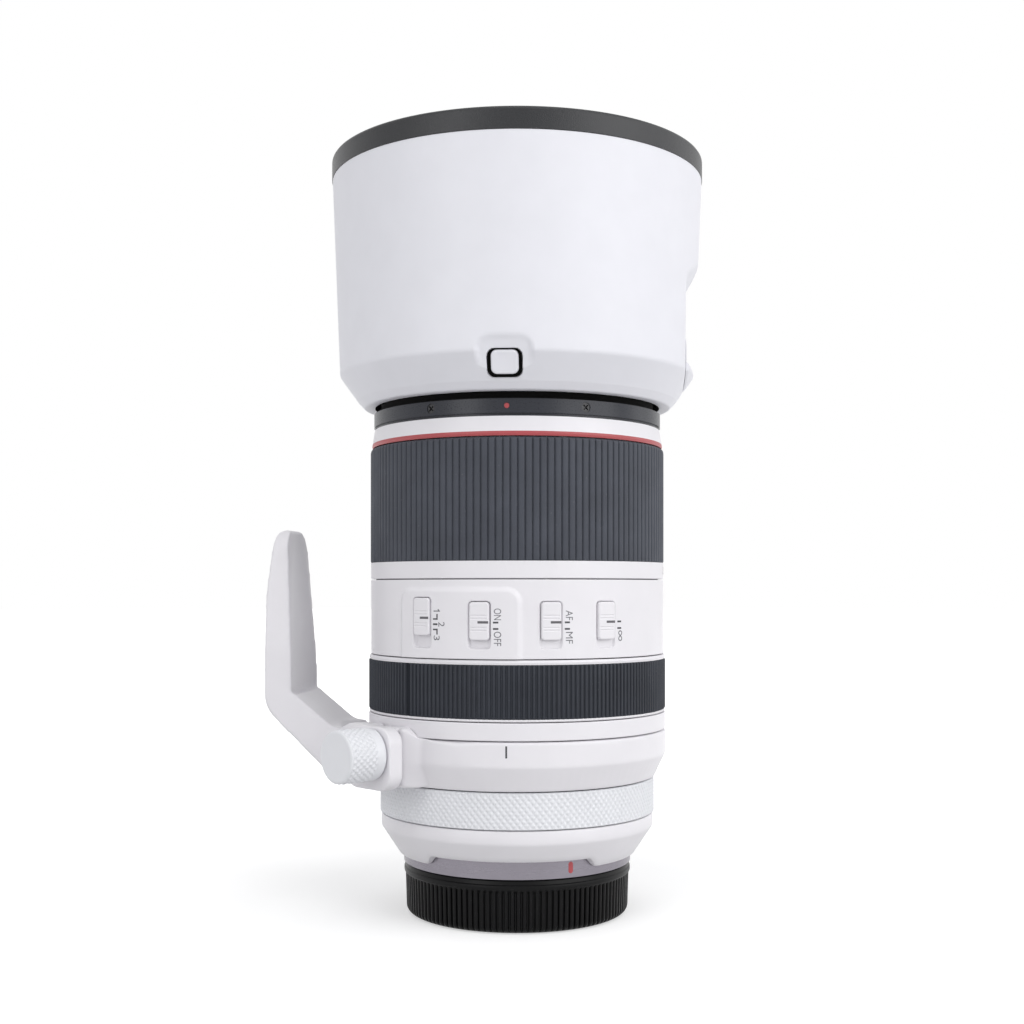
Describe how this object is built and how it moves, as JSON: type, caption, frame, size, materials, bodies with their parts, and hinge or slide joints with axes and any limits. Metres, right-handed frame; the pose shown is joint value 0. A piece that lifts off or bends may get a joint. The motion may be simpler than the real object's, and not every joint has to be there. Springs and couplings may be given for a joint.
{
  "type": "telephoto zoom lens",
  "caption": "White telephoto zoom lens on its rear cap with flared hood, hinged tripod collar with foot, ribbed zoom and focus rings, slide switches, moving cam-driven groups and iris.",
  "frame": {"origin": "optical axis at the flat foot of the rear cap", "axes": "+Z along the optical axis towards the front, -Y towards the switch side, +X towards the top of the lens in use"},
  "size_m": [0.1322, 0.112, 0.2256],
  "materials": {
    "white_paint": "satin off-white enamel",
    "white_plastic": "matt white",
    "black_plastic": "matt black",
    "black_rubber": "ribbed matt rubber",
    "red_paint": "satin red",
    "black_metal": "matt black anodised",
    "steel": "satin",
    "dark_metal": "dark anodised",
    "brass": "bare",
    "glass": "coated, clear",
    "board": "circuit board",
    "felt": "black flock"
  },
  "bodies": {
    "barrel": {"mount_ring": "steel", "mount_screws": "steel", "contact_block": "black_plastic", "main_board": "board", "rear_skirt": "white_paint", "rear_barrel": "dark_metal", "guide_barrel": "dark_metal", "rear_band": "white_paint", "switch_shell": "white_paint", "rear_cell": "dark_metal", "rear_elements": "glass", "focus_rods": "steel", "focus_motors": "brass", "stabilizer_base": "dark_metal", "iris_base": "black_metal"},
    "zoom_ring": {"zoom_cam_sleeve": "dark_metal", "zoom_scale_ring": "white_paint", "zoom_grip": "black_rubber"},
    "front_barrel": {"front_tube": "white_paint", "cam_followers": "brass", "front_cover": "white_paint", "red_ring": "red_paint", "front_ring": "black_metal", "front_screws": "steel", "front_elements": "glass", "front_retainer": "black_metal"},
    "variator": {"variator_cell": "dark_metal", "variator_elements": "glass"},
    "focus_group": {"focus_cell": "dark_metal", "focus_element": "glass"},
    "stabilizer": {"stabilizer_frame": "black_metal", "stabilizer_element": "glass"},
    "iris_drive": {"iris_drive_ring": "dark_metal"},
    "focus_ring": {"focus_sleeve": "white_paint", "focus_grip": "black_rubber"},
    "control_ring": {"control_ring": "white_paint"},
    "collar": {"collar_band": "white_paint", "tripod_foot": "white_paint", "collar_hinge_pin": "steel"},
    "collar_jaw": {"collar_jaw": "white_paint"},
    "collar_knob": {"collar_knob": "white_paint"},
    "hood": {"hood_shell": "white_plastic", "hood_lining": "felt", "hood_rim": "black_plastic"},
    "hood_button": {"hood_button": "white_plastic"},
    "hood_window": {"hood_window": "white_plastic"},
    "switch_mode": {"switch_mode": "white_plastic"},
    "switch_stabilizer": {"switch_stabilizer": "white_plastic"},
    "switch_focus": {"switch_focus": "white_plastic"},
    "switch_limiter": {"switch_limiter": "white_plastic"},
    "rear_cap": {"rear_cap": "black_plastic"},
    "iris_blade_1": {"iris_blade_1": "black_metal"},
    "iris_blade_2": {"iris_blade_2": "black_metal"},
    "iris_blade_3": {"iris_blade_3": "black_metal"},
    "iris_blade_4": {"iris_blade_4": "black_metal"},
    "iris_blade_5": {"iris_blade_5": "black_metal"},
    "iris_blade_6": {"iris_blade_6": "black_metal"},
    "iris_blade_7": {"iris_blade_7": "black_metal"},
    "iris_blade_8": {"iris_blade_8": "black_metal"},
    "iris_blade_9": {"iris_blade_9": "black_metal"}
  },
  "joints": [
    {"name": "zoom_ring_turn", "type": "hinge", "parent": "barrel", "child": "zoom_ring", "pos_m": [0, 0, 0.12], "axis": [0, 0, 1], "range_deg": [0, 90]},
    {"name": "front_barrel_extend", "type": "slide", "parent": "barrel", "child": "front_barrel", "axis": [0, 0, 1], "range_m": [0, 0.05]},
    {"name": "variator_slide", "type": "slide", "parent": "barrel", "child": "variator", "axis": [0, 0, 1], "range_m": [0, 0.02]},
    {"name": "focus_group_slide", "type": "slide", "parent": "barrel", "child": "focus_group", "axis": [0, 0, 1], "range_m": [0, 0.008]},
    {"name": "stabilizer_shift", "type": "slide", "parent": "barrel", "child": "stabilizer", "axis": [1, 0, 0], "range_m": [-0.0008, 0.0008]},
    {"name": "iris_turn", "type": "hinge", "parent": "barrel", "child": "iris_drive", "pos_m": [0, 0, 0.078], "axis": [0, 0, 1], "range_deg": [0, 20]},
    {"name": "iris_blade_1_turn", "type": "hinge", "parent": "barrel", "child": "iris_blade_1", "pos_m": [0.02025, -0.02413, 0.075], "axis": [0, 0, 1], "range_deg": [0, 30]},
    {"name": "iris_blade_2_turn", "type": "hinge", "parent": "barrel", "child": "iris_blade_2", "pos_m": [0.03102, -0.00547, 0.075], "axis": [0, 0, 1], "range_deg": [0, 30]},
    {"name": "iris_blade_3_turn", "type": "hinge", "parent": "barrel", "child": "iris_blade_3", "pos_m": [0.02728, 0.01575, 0.075], "axis": [0, 0, 1], "range_deg": [0, 30]},
    {"name": "iris_blade_4_turn", "type": "hinge", "parent": "barrel", "child": "iris_blade_4", "pos_m": [0.01077, 0.0296, 0.075], "axis": [0, 0, 1], "range_deg": [0, 30]},
    {"name": "iris_blade_5_turn", "type": "hinge", "parent": "barrel", "child": "iris_blade_5", "pos_m": [-0.01077, 0.0296, 0.075], "axis": [0, 0, 1], "range_deg": [0, 30]},
    {"name": "iris_blade_6_turn", "type": "hinge", "parent": "barrel", "child": "iris_blade_6", "pos_m": [-0.02728, 0.01575, 0.075], "axis": [0, 0, 1], "range_deg": [0, 30]},
    {"name": "iris_blade_7_turn", "type": "hinge", "parent": "barrel", "child": "iris_blade_7", "pos_m": [-0.03102, -0.00547, 0.075], "axis": [0, 0, 1], "range_deg": [0, 30]},
    {"name": "iris_blade_8_turn", "type": "hinge", "parent": "barrel", "child": "iris_blade_8", "pos_m": [-0.02025, -0.02413, 0.075], "axis": [0, 0, 1], "range_deg": [0, 30]},
    {"name": "iris_blade_9_turn", "type": "hinge", "parent": "barrel", "child": "iris_blade_9", "pos_m": [0, -0.0315, 0.075], "axis": [0, 0, 1], "range_deg": [0, 30]},
    {"name": "focus_ring_turn", "type": "hinge", "parent": "barrel", "child": "focus_ring", "pos_m": [0, 0, 0.069], "axis": [0, 0, 1], "continuous": true},
    {"name": "control_ring_turn", "type": "hinge", "parent": "barrel", "child": "control_ring", "pos_m": [0, 0, 0.0357], "axis": [0, 0, 1], "continuous": true},
    {"name": "collar_turn", "type": "hinge", "parent": "barrel", "child": "collar", "pos_m": [0, 0, 0.048], "axis": [0, 0, 1], "continuous": true},
    {"name": "collar_jaw_open", "type": "hinge", "parent": "collar", "child": "collar_jaw", "pos_m": [0.03823, 0.02777, 0.048], "axis": [0, 0, 1], "range_deg": [0, 40]},
    {"name": "collar_knob_turn", "type": "hinge", "parent": "collar", "child": "collar_knob", "pos_m": [-0.04149, -0.04607, 0.0515], "axis": [-0.6691, -0.7431, 0], "range_deg": [0, 540]},
    {"name": "hood_twist", "type": "hinge", "parent": "front_barrel", "child": "hood", "pos_m": [0, 0, 0.155], "axis": [0, 0, 1], "range_deg": [0, 60]},
    {"name": "hood_button_press", "type": "slide", "parent": "hood", "child": "hood_button", "axis": [0, 0.9373, 0.3486], "range_m": [0, 0.0008], "stiffness_N_per_m": 600},
    {"name": "hood_window_slide", "type": "slide", "parent": "hood", "child": "hood_window", "axis": [0, 0, 1], "range_m": [0, 0.013]},
    {"name": "switch_mode_slide", "type": "slide", "parent": "barrel", "child": "switch_mode", "axis": [0, 0, -1], "range_m": [0, 0.0032]},
    {"name": "switch_stabilizer_slide", "type": "slide", "parent": "barrel", "child": "switch_stabilizer", "axis": [0, 0, -1], "range_m": [0, 0.0022]},
    {"name": "switch_focus_slide", "type": "slide", "parent": "barrel", "child": "switch_focus", "axis": [0, 0, -1], "range_m": [0, 0.0022]},
    {"name": "switch_limiter_slide", "type": "slide", "parent": "barrel", "child": "switch_limiter", "axis": [0, 0, -1], "range_m": [0, 0.0022]},
    {"name": "rear_cap_twist", "type": "hinge", "parent": "barrel", "child": "rear_cap", "pos_m": [0, 0, 0.007], "axis": [0, 0, 1], "range_deg": [0, 60]}
  ],
  "couplings": [
    {"joint": "front_barrel_extend", "follows": "zoom_ring_turn", "m_per_rad": 0.03183},
    {"joint": "variator_slide", "follows": "zoom_ring_turn", "m_per_rad": 0.01273},
    {"joint": "iris_blade_1_turn", "follows": "iris_turn", "ratio": 1.499},
    {"joint": "iris_blade_2_turn", "follows": "iris_turn", "ratio": 1.499},
    {"joint": "iris_blade_3_turn", "follows": "iris_turn", "ratio": 1.499},
    {"joint": "iris_blade_4_turn", "follows": "iris_turn", "ratio": 1.499},
    {"joint": "iris_blade_5_turn", "follows": "iris_turn", "ratio": 1.499},
    {"joint": "iris_blade_6_turn", "follows": "iris_turn", "ratio": 1.499},
    {"joint": "iris_blade_7_turn", "follows": "iris_turn", "ratio": 1.499},
    {"joint": "iris_blade_8_turn", "follows": "iris_turn", "ratio": 1.499},
    {"joint": "iris_blade_9_turn", "follows": "iris_turn", "ratio": 1.499}
  ]
}
